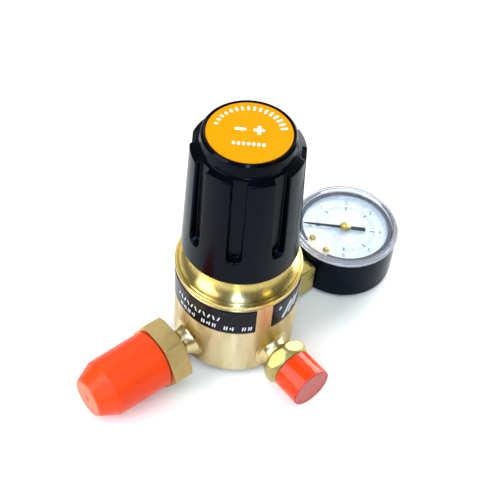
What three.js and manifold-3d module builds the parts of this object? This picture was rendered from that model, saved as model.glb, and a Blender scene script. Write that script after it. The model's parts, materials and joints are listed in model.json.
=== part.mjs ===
// Single-stage gas pressure regulator: brass body, black adjusting knob, bull-nose inlet with its
// nut, outlet fitting and side-entry pressure gauge. Millimetres, +Z up along the knob's axis.
// The origin is the centre of the body's round base face; +X points to the gauge, -X to the inlet
// and -Y to the outlet.
import * as THREE from 'three';
import { mergeVertices } from 'three/addons/utils/BufferGeometryUtils.js';
import Module from 'manifold-3d';

const wasm = await Module();
wasm.setup();

// Facets round a full turn
const FINE = 36;
const MEDIUM = 22;
const COARSE = 12;

// Body
const BODY_R = 26.3;
const BODY_TOP = 41.6;
const PORT_Z = 8.5;
const SEAT_Z = 29;
const FLOOR_Z = 22;
const COUNTERBORE_R = 22.6;
const CHAMBER_R = 17.5;
const VALVE_BORE_R = 5.3;

// Diaphragm stack
const DIAPHRAGM_R = 22.2;
const RIM_Z = 29.3;
const DISH_Z = 26.8;
const SHEET = 1;
const PLATE_R = 11.5;

// Bonnet
const BONNET_THREAD_R = 22.3;
const RIM_R = 26.4;
const COVE_R = 19.4;
const NECK_R = 18.2;
const SPRING_ROOM_R = 14.5;
const BONNET_TOP = 84;

// Adjusting spring and screw
const SPRING_LOW = 29.9;
const SPRING_HIGH = 66;
const SPRING_R = 10.5;
const SPRING_WIRE = 2.6;
const SCREW_R = 5;

// Knob
const KNOB_LOW = 55.3;
const KNOB_SKIRT_R = 23.9;
const KNOB_TOP = 113.6;
const FLUTES = 8;
const FLUTE_PHASE = 42.3;
const FLUTE_HALF_WIDTH = 3;
const FLUTE_LOW = 66.3;
const FLUTE_FLOOR_R = 20.4;
const LABEL_R = 15.9;

// Inlet, along -X
const INLET_BOSS_END = 30.5;
const STEM_R = 5.3;
const NUT_BACK = 34.2;
const NUT_FRONT = 43;
const NUT_FLATS = 27;
const NUT_THREAD_R = 11.45;
const NUT_THREAD_END = 55.2;
const INLET_CAP_R = 12.7;

// Outlet, along -Y
const OUTLET_BOSS_END = 29.3;
const HEX_BACK = 30.9;
const HEX_FRONT = 38.2;
const HEX_FLATS = 19;
const OUTLET_THREAD_R = 8.3;
const OUTLET_THREAD_END = 49.2;
const OUTLET_CAP_R = 9.2;

// Gauge
const GAUGE_X = 64;
const CASE_R = 23.9;
const CASE_LOW = -0.6;
const CASE_HIGH = 20.3;
const LENS_R = 24.2;
const LENS_TOP = 22.6;
const DIAL_R = 21.4;
const DIAL_TOP = 19.2;
const SNAP_RING_FROM = 203;
const SNAP_RING_TO = 528;
const POINTER_REST = 135;
const SOCKET_HALF = 7.8;
const PINION_TEETH = 12;
const SECTOR_TEETH = 66;
const MODULE = 0.3;
const SECTOR_AZIMUTH = -110;

const BRASS = { color: 0xc9a349, roughness: 0.35, metalness: 1 };
const POLISHED_BRASS = { color: 0xd2a63c, roughness: 0.15, metalness: 1 };
const STEEL = { color: 0x9a9a9c, roughness: 0.35, metalness: 1 };
const BLACK_PLASTIC = { color: 0x0d0d11, roughness: 0.3, metalness: 0 };
const BLACK_PAINT = { color: 0x0a0c14, roughness: 0.25, metalness: 0 };
const ORANGE_CAP = { color: 0xf4471a, roughness: 0.35, metalness: 0 };
const ORANGE_LABEL = { color: 0xffb700, roughness: 0.4, metalness: 0 };
const RUBBER = { color: 0x1b1b1b, roughness: 0.8, metalness: 0 };
const CLEAR = { color: 0xdfe8ee, roughness: 0.05, metalness: 0 };
const WHITE_DIAL = { color: 0xf2f7fa, roughness: 0.5, metalness: 0 };
const FILTER_BRONZE = { color: 0x8a6a3a, roughness: 0.9, metalness: 0.6 };

const regulator = new THREE.Group();
regulator.name = 'gas_regulator';

const rad = THREE.MathUtils.degToRad;

function polar(radius, degrees) {
  return new THREE.Vector2(radius * Math.cos(rad(degrees)), radius * Math.sin(rad(degrees)));
}

// A solid of revolution about Z from [radius, height] pairs, given outside face first going up.
function lathe(profile, segments) {
  const points = profile.map(([r, z]) => new THREE.Vector2(r, z));
  return new THREE.LatheGeometry(points, segments).rotateX(Math.PI / 2);
}

// A ring has a profile that closes on itself.
function ring(profile, segments) {
  return lathe([...profile, profile[0]], segments);
}

function cylinder(radius, low, high, segments) {
  return lathe([[0, low], [radius, low], [radius, high], [0, high]], segments);
}

function tubeRing(inner, outer, low, high, segments) {
  return ring([[inner, low], [outer, low], [outer, high], [inner, high]], segments);
}

function box(x0, x1, y0, y1, z0, z1) {
  const g = new THREE.BoxGeometry(x1 - x0, y1 - y0, z1 - z0);
  return g.translate((x0 + x1) / 2, (y0 + y1) / 2, (z0 + z1) / 2);
}

// A prism with a regular outline, across the given flats, with a corner at the given angle.
function prism(sides, flats, low, high, corner) {
  const shape = new THREE.Shape();
  const radius = flats / 2 / Math.cos(Math.PI / sides);
  for (let i = 0; i < sides; i += 1) {
    const p = polar(radius, corner + i * 360 / sides);
    if (i === 0) shape.moveTo(p.x, p.y);
    else shape.lineTo(p.x, p.y);
  }
  shape.closePath();
  const g = new THREE.ExtrudeGeometry(shape, { depth: high - low, bevelEnabled: false });
  return g.translate(0, 0, low);
}

// A flat plate of any outline, standing from low to high.
function plate(shape, low, high, curveSegments = 12) {
  const options = { depth: high - low, bevelEnabled: false, curveSegments };
  return new THREE.ExtrudeGeometry(shape, options).translate(0, 0, low);
}

// Pieces built along +Z are turned to point along a port's direction at the ports' height.
function alongPort(geometry, azimuth) {
  geometry.rotateY(Math.PI / 2);
  geometry.rotateZ(rad(azimuth));
  return geometry.translate(0, 0, PORT_Z);
}

const inlet = (geometry) => alongPort(geometry, 180);
const outlet = (geometry) => alongPort(geometry, -90);
const gaugeSide = (geometry) => alongPort(geometry, 0);

function toSolid(geometry) {
  const bare = geometry.clone();
  bare.deleteAttribute('normal');
  bare.deleteAttribute('uv');
  const merged = mergeVertices(bare, 1e-4);
  return new wasm.Manifold(new wasm.Mesh({
    numProp: 3,
    vertProperties: new Float32Array(merged.attributes.position.array),
    triVerts: new Uint32Array(merged.index.array),
  }));
}

function toGeometry(solid) {
  const mesh = solid.getMesh();
  const g = new THREE.BufferGeometry();
  g.setAttribute('position', new THREE.BufferAttribute(mesh.vertProperties, 3));
  g.setIndex(new THREE.BufferAttribute(mesh.triVerts, 1));
  return g;
}

function join(...geometries) {
  return toGeometry(geometries.map(toSolid).reduce((a, b) => a.add(b)));
}

function cut(geometry, ...tools) {
  return toGeometry(tools.map(toSolid).reduce((a, b) => a.subtract(b), toSolid(geometry)));
}

function common(a, b) {
  return toGeometry(toSolid(a).intersect(toSolid(b)));
}

function addPiece(name, geometry, look, parent = regulator) {
  const g = geometry.index && !geometry.attributes.normal ? geometry.toNonIndexed() : geometry;
  if (!g.attributes.normal) g.computeVertexNormals();
  const mesh = new THREE.Mesh(g, new THREE.MeshStandardMaterial(look));
  mesh.name = name;
  parent.add(mesh);
  return mesh;
}

// A coil spring with its wire's centre line on a helix between two heights.
class Helix extends THREE.Curve {
  constructor(radius, low, high, turns) {
    super();
    Object.assign(this, { radius, low, high, turns });
  }

  getPoint(t, target = new THREE.Vector3()) {
    const angle = t * this.turns * 2 * Math.PI;
    const z = this.low + (this.high - this.low) * t;
    return target.set(this.radius * Math.cos(angle), this.radius * Math.sin(angle), z);
  }
}

function coil(radius, wire, low, high, turns, stepsPerTurn) {
  const section = new THREE.Shape();
  const sides = 5;
  for (let i = 0; i < sides; i += 1) {
    const p = polar(wire / 2, i * 360 / sides);
    if (i === 0) section.moveTo(p.x, p.y);
    else section.lineTo(p.x, p.y);
  }
  section.closePath();
  const path = new Helix(radius, low + wire / 2, high - wire / 2, turns);
  const steps = Math.round(turns * stepsPerTurn);
  return new THREE.ExtrudeGeometry(section, { steps, extrudePath: path, bevelEnabled: false });
}

// A boss flares into the body along a quarter-round fillet; heights are distances from the Z axis.
function bossProfile(endRadius, end, flare, reach) {
  const profile = [[0, 15], [endRadius + flare, 15], [endRadius + flare, end - reach]];
  for (let i = 1; i <= 4; i += 1) {
    const a = rad(i * 22.5);
    const r = endRadius + flare * (1 - Math.sin(a));
    profile.push([r, end - reach * Math.cos(a) - 0.8]);
  }
  profile.push([endRadius, end], [0, end]);
  return profile;
}

// --- Body -------------------------------------------------------------------------------------
const bodyShell = lathe([
  [0, 0], [BODY_R - 0.7, 0], [BODY_R, 0.7], [BODY_R, BODY_TOP - 0.4], [BODY_R - 0.4, BODY_TOP],
  [COUNTERBORE_R, BODY_TOP], [COUNTERBORE_R, SEAT_Z], [CHAMBER_R, SEAT_Z],
  [CHAMBER_R, FLOOR_Z], [0, FLOOR_Z],
], FINE);
const inletBoss = inlet(lathe(bossProfile(6, INLET_BOSS_END, 2.4, 4.9), MEDIUM));
const outletBoss = outlet(lathe(bossProfile(5.9, OUTLET_BOSS_END, 2.4, 3.7), MEDIUM));
const gaugePad = box(18, 27.2, -8.2, 8.2, 0.6, 17);
const chamberRoom = cylinder(CHAMBER_R, FLOOR_Z, BODY_TOP + 1, FINE);
const bodyBlank = join(bodyShell, inletBoss, outletBoss, gaugePad);
const body = cut(
  bodyBlank,
  box(-50, 50, -50, 50, -10, 0),
  chamberRoom,
  cylinder(VALVE_BORE_R, 2.6, FLOOR_Z + 1, COARSE),
  inlet(cylinder(4.9, 18, 35, COARSE)),
  inlet(cylinder(2.4, 4, 19, COARSE)),
  outlet(cylinder(4.9, 18, 35, COARSE)),
  outlet(cylinder(2.4, 12, 19, COARSE)),
  cylinder(1.8, PORT_Z, FLOOR_Z + 1, COARSE).translate(0, -13, 0),
  gaugeSide(cylinder(6.4, 18.5, 30, COARSE)),
  gaugeSide(cylinder(1.6, 12, 19, COARSE)),
  cylinder(1.4, PORT_Z, FLOOR_Z + 1, COARSE).translate(13, 0, 0),
);
addPiece('body', body, BRASS);

// --- Valve ------------------------------------------------------------------------------------
const nozzle = cut(
  join(
    lathe([[0, 13.4], [3, 13.4], [3.4, 14.6], [5, 14.6], [5, 22.5], [0, 22.5]], COARSE),
    prism(6, 12, 22.3, 24.6, 0),
  ),
  cylinder(1.9, 12, 26, COARSE),
);
addPiece('nozzle_seat', nozzle, BRASS);
addPiece('valve_poppet', lathe([
  [0, 9.5], [2.2, 9.5], [3.8, 9.9], [3.8, 12.1], [1.2, 12.1], [1.2, 26.2], [0.9, 26.5], [0, 26.5],
], COARSE), BRASS);
addPiece('valve_pad', tubeRing(1.4, 3.5, 12.3, 13.1, COARSE), RUBBER);
addPiece('valve_spring', coil(3.2, 0.8, 2.9, 9.2, 4, 10), STEEL);

// --- Diaphragm stack --------------------------------------------------------------------------
addPiece('diaphragm', lathe([
  [0, DISH_Z], [12.4, DISH_Z], [13.4, DISH_Z - 0.5], [14.8, DISH_Z - 0.2], [16.4, RIM_Z],
  [DIAPHRAGM_R, RIM_Z], [DIAPHRAGM_R, RIM_Z + SHEET], [15.9, RIM_Z + SHEET],
  [14.2, DISH_Z + 0.9], [13.4, DISH_Z + 0.6], [12.4, DISH_Z + SHEET], [0, DISH_Z + SHEET],
], MEDIUM), RUBBER);
addPiece('diaphragm_plate', lathe([
  [0, 28.1], [PLATE_R - 0.5, 28.1], [PLATE_R, 28.6], [PLATE_R, 29.6], [8.9, 29.6],
  [8.9, 31.4], [8.2, 31.8], [0, 31.8],
], MEDIUM), STEEL);
addPiece('slip_ring', tubeRing(17.8, DIAPHRAGM_R, 30.6, 31.2, MEDIUM), BRASS);

// --- Bonnet and adjusting spring --------------------------------------------------------------
const cove = [];
for (let i = 0; i <= 5; i += 1) {
  const a = rad(i * 18);
  cove.push([25 - (25 - COVE_R) * Math.sin(a), 49.6 - 5.6 * Math.cos(a)]);
}
addPiece('bonnet', ring([
  [SPRING_ROOM_R + 3.3, 31.5], [BONNET_THREAD_R, 31.5], [BONNET_THREAD_R, BODY_TOP + 0.3],
  [RIM_R - 0.3, BODY_TOP + 0.3], [RIM_R, BODY_TOP + 0.9], [RIM_R - 0.2, 43.6],
  ...cove, [COVE_R, 53], [NECK_R, 54.4], [NECK_R, BONNET_TOP],
  [SCREW_R + 0.3, BONNET_TOP], [SCREW_R + 0.3, 74],
  [SPRING_ROOM_R, 74], [SPRING_ROOM_R, 41], [SPRING_ROOM_R + 3.3, 38],
], FINE), POLISHED_BRASS);
addPiece('adjusting_spring', coil(SPRING_R, SPRING_WIRE, SPRING_LOW, SPRING_HIGH, 6, 12), STEEL);
addPiece('spring_button', lathe([
  [0, 63.5], [8.4, 63.5], [8.8, 64], [8.8, 66.2], [12.6, 66.2], [13.2, 66.8], [13.2, 69.4],
  [12.6, 70], [3, 70], [0, 68.6],
], MEDIUM), STEEL);

// --- Knob and adjusting screw -----------------------------------------------------------------
const screwBlank = join(
  lathe([[0, 69.1], [2.6, 70.3], [SCREW_R, 71.6], [SCREW_R, 92.9], [0, 92.9]], COARSE),
  prism(6, 7, 92, 103, FLUTE_PHASE),
);
const adjustingScrew = cut(screwBlank, cylinder(2.1, 95, 104, COARSE));
addPiece('adjusting_screw', adjustingScrew, STEEL);

const knobBlank = lathe([
  [0, 93.2], [8, 93.2], [8, 100], [19, 100], [19, 64.5], [22.5, 63], [22.5, KNOB_LOW],
  [KNOB_SKIRT_R - 0.3, KNOB_LOW], [KNOB_SKIRT_R, KNOB_LOW + 0.6], [23.35, 66], [21.5, 106.1],
  [20.9, 106.9], [18.3, 107.9], [17.7, 112.7], [16.8, KNOB_TOP], [16.2, KNOB_TOP],
  [16.2, 112.7], [5, 112.7], [5, 106], [0, 106],
], FINE);
const fluteShape = new THREE.Shape();
fluteShape.moveTo(FLUTE_HALF_WIDTH, 60);
fluteShape.lineTo(-FLUTE_HALF_WIDTH, 60);
fluteShape.lineTo(-FLUTE_HALF_WIDTH, FLUTE_HALF_WIDTH);
fluteShape.absarc(0, FLUTE_HALF_WIDTH, FLUTE_HALF_WIDTH, Math.PI, 2 * Math.PI);
fluteShape.closePath();
const flutes = [];
for (let i = 0; i < FLUTES; i += 1) {
  const flute = plate(fluteShape, 0, 8, 6);
  flute.rotateX(rad(-1.5));
  flute.rotateX(Math.PI / 2);
  flute.rotateZ(Math.PI / 2);
  flute.translate(FLUTE_FLOOR_R, 0, FLUTE_LOW);
  flutes.push(flute.rotateZ(rad(FLUTE_PHASE + i * 360 / FLUTES)));
}
const knob = cut(
  knobBlank,
  ...flutes,
  prism(6, 7.5, 93, 103.3, FLUTE_PHASE),
  cylinder(2.2, 103, 107, COARSE),
);
addPiece('knob', knob, BLACK_PLASTIC);
addPiece('knob_screw', cut(
  lathe([[0, 96], [1.9, 96], [1.9, 106.3], [4, 106.3], [4, 107.9], [3.4, 108.6], [0, 108.6]], COARSE),
  box(-5, 5, -0.5, 0.5, 107.6, 109),
), STEEL);
addPiece('knob_label', cylinder(LABEL_R, 113, 113.4, FINE), ORANGE_LABEL);

// --- Wrap labels on the body ------------------------------------------------------------------
function wrapLabel(from, to, low, high) {
  const shape = new THREE.Shape();
  shape.absarc(0, 0, BODY_R + 0.22, rad(from), rad(to), false);
  shape.absarc(0, 0, BODY_R + 0.06, rad(to), rad(from), true);
  shape.closePath();
  return plate(shape, low, high, 12);
}
addPiece('body_label_left', wrapLabel(150, 247.8, 26.5, 41), BLACK_PAINT);
addPiece('body_label_right', wrapLabel(263, 325, 26.5, 41), BLACK_PAINT);

// --- Inlet ------------------------------------------------------------------------------------
const stemBlank = lathe([
  [0, 19.5], [4.6, 19.5], [4.6, 30.8], [STEM_R, 30.8], [STEM_R, 38.8],
  [9.2, 38.8], [9.2, 53], [8.2, 55.6], [7, 55.6], [7, 58], [7.9, 58], [7.4, 60.5],
  [5.6, 63.6], [0, 63.6],
], MEDIUM);
addPiece('inlet_stem', inlet(cut(
  stemBlank,
  cylinder(2.4, 18, 70, COARSE),
  cylinder(3.8, 57.5, 70, COARSE),
)), BRASS);
addPiece('inlet_filter', inlet(cylinder(3.5, 57.9, 62.6, COARSE)), FILTER_BRONZE);
const beadProfile = [];
for (let i = 0; i < 6; i += 1) {
  const p = polar(0.8, i * 60);
  beadProfile.push([8.1 + p.x, 56.8 + p.y]);
}
addPiece('nose_seal_ring', inlet(ring(beadProfile, MEDIUM)), RUBBER);

const nutHex = common(
  prism(6, NUT_FLATS, NUT_BACK, NUT_FRONT, 90),
  lathe([
    [0, NUT_BACK], [14.5, NUT_BACK], [15.7, NUT_BACK + 0.9], [15.7, NUT_FRONT - 0.5],
    [15.2, NUT_FRONT], [0, NUT_FRONT],
  ], MEDIUM),
);
const nutThread = lathe([
  [0, NUT_FRONT - 1], [10.4, NUT_FRONT - 1], [10.4, NUT_FRONT + 1.2],
  [NUT_THREAD_R, NUT_FRONT + 2.2], [NUT_THREAD_R, NUT_THREAD_END - 1],
  [10.6, NUT_THREAD_END], [0, NUT_THREAD_END],
], MEDIUM);
const nut = cut(
  join(nutHex, nutThread),
  cylinder(STEM_R + 0.3, 30, 40, COARSE),
  cylinder(9.5, 38.5, 60, MEDIUM),
);
addPiece('inlet_nut', inlet(nut), BRASS);

addPiece('inlet_cap', inlet(lathe([
  [0, 74.6], [7, 74.6], [11, 67.4], [11.65, 66.5], [11.65, 43.8], [11.95, 43.4],
  [INLET_CAP_R, 43.4],
  [12.35, 68.1], [8.7, 75.4], [8.1, 76.3], [1, 76.3], [0, 75.8],
], MEDIUM)), ORANGE_CAP);

// --- Outlet -----------------------------------------------------------------------------------
addPiece('outlet_washer', outlet(tubeRing(5.2, 7.4, 29.6, 30.6, MEDIUM)), BRASS);
const hexMiddle = (HEX_BACK + HEX_FRONT) / 2;
const outletHex = common(
  prism(6, HEX_FLATS, HEX_BACK, HEX_FRONT, 7),
  lathe([
    [0, HEX_BACK], [HEX_FLATS / 2 - 0.5, HEX_BACK], [10.6, hexMiddle - 0.8],
    [10.6, hexMiddle + 0.8], [HEX_FLATS / 2 - 0.5, HEX_FRONT], [0, HEX_FRONT],
  ], MEDIUM),
);
const outletThread = lathe([
  [0, HEX_FRONT - 1], [7.6, HEX_FRONT - 1], [7.6, HEX_FRONT + 0.8],
  [OUTLET_THREAD_R, HEX_FRONT + 1.5], [OUTLET_THREAD_R, OUTLET_THREAD_END - 0.8],
  [7.4, OUTLET_THREAD_END], [0, OUTLET_THREAD_END],
], MEDIUM);
addPiece('outlet_fitting', outlet(cut(
  join(outletHex, outletThread, cylinder(4.6, 19.5, 32, COARSE)),
  cylinder(2.4, 18, 60, COARSE),
  lathe([[0, 45.6], [2.4, 45.6], [6.1, 50], [0, 50]], COARSE),
)), BRASS);
addPiece('outlet_cap', outlet(lathe([
  [0, 50.2], [8.1, 50.2], [8.45, 49.8], [8.45, 38.6], [OUTLET_CAP_R, 38.6],
  [OUTLET_CAP_R, 50.4], [8.9, 51.2], [8.1, 51.2], [7.5, 50.95], [0, 50.95],
], MEDIUM)), ORANGE_CAP);

// --- Gauge ------------------------------------------------------------------------------------
const gauge = new THREE.Group();
gauge.position.set(GAUGE_X, 0, 0);
regulator.add(gauge);
const gaugeToSocket = (geometry) => gaugeSide(geometry).translate(-GAUGE_X, 0, 0);

const socketBlock = plate((() => {
  const h = SOCKET_HALF;
  const c = 0.7;
  const shape = new THREE.Shape();
  shape.moveTo(h - c, -h);
  shape.lineTo(h, c - h);
  shape.lineTo(h, h - c);
  shape.lineTo(h - c, h);
  shape.lineTo(c - h, h);
  shape.lineTo(-h, h - c);
  shape.lineTo(-h, c - h);
  shape.lineTo(c - h, -h);
  shape.closePath();
  return shape;
})(), 27.6, 39.8);
const socket = cut(
  join(
    gaugeToSocket(socketBlock),
    gaugeToSocket(cylinder(6.1, 19.2, 28, COARSE)),
    gaugeToSocket(cylinder(4.6, 39, 44.7, COARSE)),
    box(-19.6, -14.1, -5, 5, 7.3, 13.7),
  ),
  gaugeToSocket(cylinder(1.4, 18, 46.5, COARSE)),
  cylinder(0.8, PORT_Z, 12, 12).translate(46 - GAUGE_X, 0, 0),
);
addPiece('gauge_socket', socket, BRASS, gauge);

addPiece('gauge_case', cut(
  lathe([
    [0, CASE_LOW], [CASE_R - 0.8, CASE_LOW], [CASE_R - 0.2, CASE_LOW + 0.3],
    [CASE_R, CASE_LOW + 0.9], [CASE_R, CASE_HIGH], [23, CASE_HIGH], [23, CASE_LOW + 1],
    [0, CASE_LOW + 1],
  ], FINE),
  gaugeToSocket(cylinder(5, 38, 46, COARSE)),
), BLACK_PAINT, gauge);
addPiece('gauge_lens', lathe([
  [0, 21.5], [21.6, 21.5], [21.6, 19.6], [22.7, 19.6], [22.7, CASE_HIGH + 0.3],
  [LENS_R - 0.2, CASE_HIGH + 0.3], [LENS_R, 20.8], [LENS_R, LENS_TOP - 0.8],
  [23.6, LENS_TOP], [22, LENS_TOP], [21.5, 22.2], [0, 22.2],
], FINE), CLEAR, gauge);

// A flat ring with a gap, sprung into the lens's spigot over the dial
const ringShape = new THREE.Shape();
ringShape.absarc(0, 0, 21.2, rad(SNAP_RING_FROM), rad(SNAP_RING_TO), false);
ringShape.absarc(0, 0, 19.5, rad(SNAP_RING_TO), rad(SNAP_RING_FROM), true);
ringShape.closePath();
addPiece('lens_snap_ring', plate(ringShape, 20.8, 21.2, 26), BLACK_PAINT, gauge);

const SCREW_SPREAD = 16;
const SCREW_RING = 16.3;
const screwSpots = [180 - SCREW_SPREAD, 180 + SCREW_SPREAD].map((a) => polar(SCREW_RING, a));
addPiece('gauge_dial', cut(
  cylinder(DIAL_R, DIAL_TOP - 0.6, DIAL_TOP, FINE),
  cylinder(1.2, 17, 21, COARSE),
  ...screwSpots.map((p) => cylinder(1, 17, 21, COARSE).translate(p.x, p.y, 0)),
), WHITE_DIAL, gauge);
['left', 'right'].forEach((side, i) => {
  const screw = cut(
    lathe([[0, 15.3], [0.8, 15.3], [0.8, 19.4], [1.4, 19.4], [1.4, 19.8], [1, 20.2], [0, 20.2]], COARSE),
    box(-2, 2, -0.2, 0.2, 19.9, 21),
  );
  addPiece(`dial_screw_${side}`, screw.translate(screwSpots[i].x, screwSpots[i].y, 0), BRASS, gauge);
});

// The pointer's arm is drawn along +X and turned to its rest at zero.
const needle = new THREE.Shape();
needle.moveTo(19.3, 0);
needle.lineTo(17.5, 0.35);
needle.lineTo(0, 0.75);
needle.lineTo(-9.3, 1);
needle.lineTo(-9.3, -1);
needle.lineTo(0, -0.75);
needle.lineTo(17.5, -0.35);
needle.closePath();
const pointer = cut(
  join(plate(needle, 20, 20.4), cylinder(2.2, 20, 20.4, COARSE)),
  cylinder(0.8, 19, 21, COARSE),
);
addPiece('pointer', pointer.rotateZ(rad(POINTER_REST)), BLACK_PAINT, gauge);
addPiece('pointer_hub', cut(
  lathe([[0, 20.5], [2.6, 20.5], [2.4, 20.8], [1.6, 21.2], [0.6, 21.3], [0, 21.3]], COARSE),
  cylinder(0.75, 20, 20.9, 12),
), BRASS, gauge);

// --- Gauge movement ---------------------------------------------------------------------------
const pinionPitch = PINION_TEETH * MODULE / 2;
const sectorPitch = SECTOR_TEETH * MODULE / 2;
const pivot = polar(pinionPitch + sectorPitch, SECTOR_AZIMUTH);

// Tooth points along an arc: each tooth is a short trapezium about its own angle.
function toothPoints(pitchRadius, teeth, first, count) {
  const points = [];
  const step = 360 / teeth;
  const root = pitchRadius - 0.34;
  const tip = pitchRadius + 0.2;
  for (let i = 0; i < count; i += 1) {
    const a = first + i * step;
    points.push(polar(root, a - 0.26 * step), polar(tip, a - 0.13 * step));
    points.push(polar(tip, a + 0.13 * step), polar(root, a + 0.26 * step));
  }
  return points;
}
const pinionShape = new THREE.Shape(toothPoints(
  pinionPitch, PINION_TEETH, SECTOR_AZIMUTH + 180 / PINION_TEETH, PINION_TEETH));
addPiece('pointer_pinion', join(
  cylinder(0.55, 5.8, 20.8, 16),
  plate(pinionShape, 9.5, 11.5),
), BRASS, gauge);

// The sector's teeth start at the pinion and trail clockwise; its tail points away from them.
const sectorStep = 360 / SECTOR_TEETH;
const contact = SECTOR_AZIMUTH + 180;
const sectorTeeth = 13;
const firstTooth = contact - (sectorTeeth - 3) * sectorStep;
const sectorEdge = toothPoints(sectorPitch, SECTOR_TEETH, firstTooth, sectorTeeth);
const sectorShape = new THREE.Shape([
  ...sectorEdge,
  polar(1.8, contact + 60), polar(1.8, contact + 120), polar(4.4, contact + 170),
  polar(4.4, contact + 190), polar(1.8, contact + 240), polar(1.8, firstTooth - 50),
]);
const sector = cut(
  join(plate(sectorShape, 9.9, 11.1), cylinder(1.3, 7.3, 13.7, 16)),
  cylinder(0.65, 7, 14, 12),
);
addPiece('sector_gear', sector.translate(pivot.x, pivot.y, 0), BRASS, gauge);

const plateShape = new THREE.Shape([
  new THREE.Vector2(-18.8, -4.5), new THREE.Vector2(-7.5, -13.4), new THREE.Vector2(2, -13.4),
  new THREE.Vector2(8, -5), new THREE.Vector2(8, 9), new THREE.Vector2(-4, 9),
  new THREE.Vector2(-18.8, 4.5),
]);
[['bottom', 6], ['top', 14]].forEach(([level, low]) => {
  addPiece(`movement_plate_${level}`, cut(
    plate(plateShape, low, low + 1),
    cylinder(0.65, low - 1, low + 2, 16),
  ), BRASS, gauge);
});
addPiece('sector_pin', cylinder(0.55, 7.2, 13.8, 12).translate(pivot.x, pivot.y, 0), STEEL, gauge);
[['left', 5.5, 6.5], ['right', -14, -6.6]].forEach(([side, x, y]) => {
  addPiece(`movement_pillar_${side}`, cylinder(1.2, 7.2, 13.8, 12).translate(x, y, 0), BRASS, gauge);
});

// The Bourdon tube is a flattened C that runs clockwise from the socket to a free tip.
const TUBE_R = 18.6;
const tubeShape = new THREE.Shape();
tubeShape.absarc(0, 0, TUBE_R + 1.1, rad(162), rad(-100), true);
tubeShape.absarc(0, 0, TUBE_R - 1.1, rad(-100), rad(162), false);
tubeShape.closePath();
addPiece('bourdon_tube', plate(tubeShape, 7, 13, 20), BRASS, gauge);

const linkShape = new THREE.Shape();
const linkFrom = polar(TUBE_R - 1.6, -100);
const linkTo = pivot.clone().add(polar(3.4, SECTOR_AZIMUTH));
const along = linkTo.clone().sub(linkFrom).normalize();
const side = new THREE.Vector2(-along.y, along.x).multiplyScalar(0.7);
linkShape.moveTo(linkFrom.x - side.x, linkFrom.y - side.y);
linkShape.lineTo(linkTo.x - side.x, linkTo.y - side.y);
linkShape.lineTo(linkTo.x + side.x, linkTo.y + side.y);
linkShape.lineTo(linkFrom.x + side.x, linkFrom.y + side.y);
linkShape.closePath();
addPiece('bourdon_link', plate(linkShape, 11.5, 12.1), STEEL, gauge);

export default regulator;
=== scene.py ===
"""Gas pressure regulator: brass body and bonnet, black adjusting knob, inlet with its hex nut and
cap, outlet with its cap, and a side pressure gauge. Lengths in the helpers are millimetres."""
import json
import math
import bpy
import bmesh
import numpy as np
from mathutils import Matrix, Vector


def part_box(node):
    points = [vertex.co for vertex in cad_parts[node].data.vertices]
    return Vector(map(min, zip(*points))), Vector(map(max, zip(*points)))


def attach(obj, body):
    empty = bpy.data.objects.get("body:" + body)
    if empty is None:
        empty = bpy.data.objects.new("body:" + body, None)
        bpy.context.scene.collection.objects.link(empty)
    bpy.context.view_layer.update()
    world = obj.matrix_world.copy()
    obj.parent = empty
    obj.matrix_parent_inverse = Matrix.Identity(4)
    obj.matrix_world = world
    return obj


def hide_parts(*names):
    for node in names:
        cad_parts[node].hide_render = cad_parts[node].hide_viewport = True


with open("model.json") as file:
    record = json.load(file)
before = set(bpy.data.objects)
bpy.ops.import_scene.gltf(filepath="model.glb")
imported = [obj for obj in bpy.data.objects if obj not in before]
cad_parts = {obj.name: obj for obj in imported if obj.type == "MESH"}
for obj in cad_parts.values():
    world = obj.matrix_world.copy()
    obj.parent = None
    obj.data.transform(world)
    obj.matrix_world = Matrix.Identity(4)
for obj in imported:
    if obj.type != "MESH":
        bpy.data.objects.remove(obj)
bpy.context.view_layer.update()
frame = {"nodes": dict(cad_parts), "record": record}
MM = 0.001


def cad(node):
    """Lowest and highest corner of a CAD node, in millimetres."""
    lo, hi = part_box(node)
    return np.array(lo) * 1000, np.array(hi) * 1000


# Anchors from the CAD model
_, body_hi = cad("body")
_, knob_hi = cad("knob")
nut_lo, _ = cad("inlet_nut")
in_cap_lo, in_cap_hi = cad("inlet_cap")
out_cap_lo, _ = cad("outlet_cap")
case_lo, case_hi = cad("gauge_case")
lens_lo, lens_hi = cad("gauge_lens")
PORT_Z = float(in_cap_lo[2] + in_cap_hi[2]) / 2
GAUGE_X = float(lens_lo[0] + lens_hi[0]) / 2
BODY_R = 26.3

# --- Outlines and meshes ------------------------------------------------------------------------


def rounded(points, steps=5):
    """An outline from (radius, height, corner radius) corners, with arcs at its corners."""
    out = []
    last = len(points) - 1
    for i, (x, y, *corner) in enumerate(points):
        size = corner[0] if corner else 0
        if size <= 0 or i in (0, last):
            out.append((x, y))
            continue
        p = np.array((x, y), float)
        a = np.array(points[i - 1][:2]) - p
        b = np.array(points[i + 1][:2]) - p
        la, lb = np.hypot(*a), np.hypot(*b)
        a, b = a / la, b / lb
        half = math.acos(max(-1.0, min(1.0, float(a @ b)))) / 2
        t = min(size / math.tan(half), 0.49 * la, 0.49 * lb)
        c = p + (a + b) / np.linalg.norm(a + b) * t / math.cos(half)
        s, e = p + a * t - c, p + b * t - c
        turn = math.atan2(s[0] * e[1] - s[1] * e[0], s @ e)
        for k in range(steps + 1):
            w = turn * k / steps
            out.append((c[0] + s[0] * math.cos(w) - s[1] * math.sin(w),
                        c[1] + s[0] * math.sin(w) + s[1] * math.cos(w)))
    return out


def dense(outline, step):
    """The same outline with no stretch longer than step."""
    out = [outline[0]]
    for a, b in zip(outline[:-1], outline[1:]):
        n = max(1, math.ceil(math.dist(a, b) / step))
        out += [(a[0] + (b[0] - a[0]) * k / n, a[1] + (b[1] - a[1]) * k / n)
                for k in range(1, n + 1)]
    return out


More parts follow.
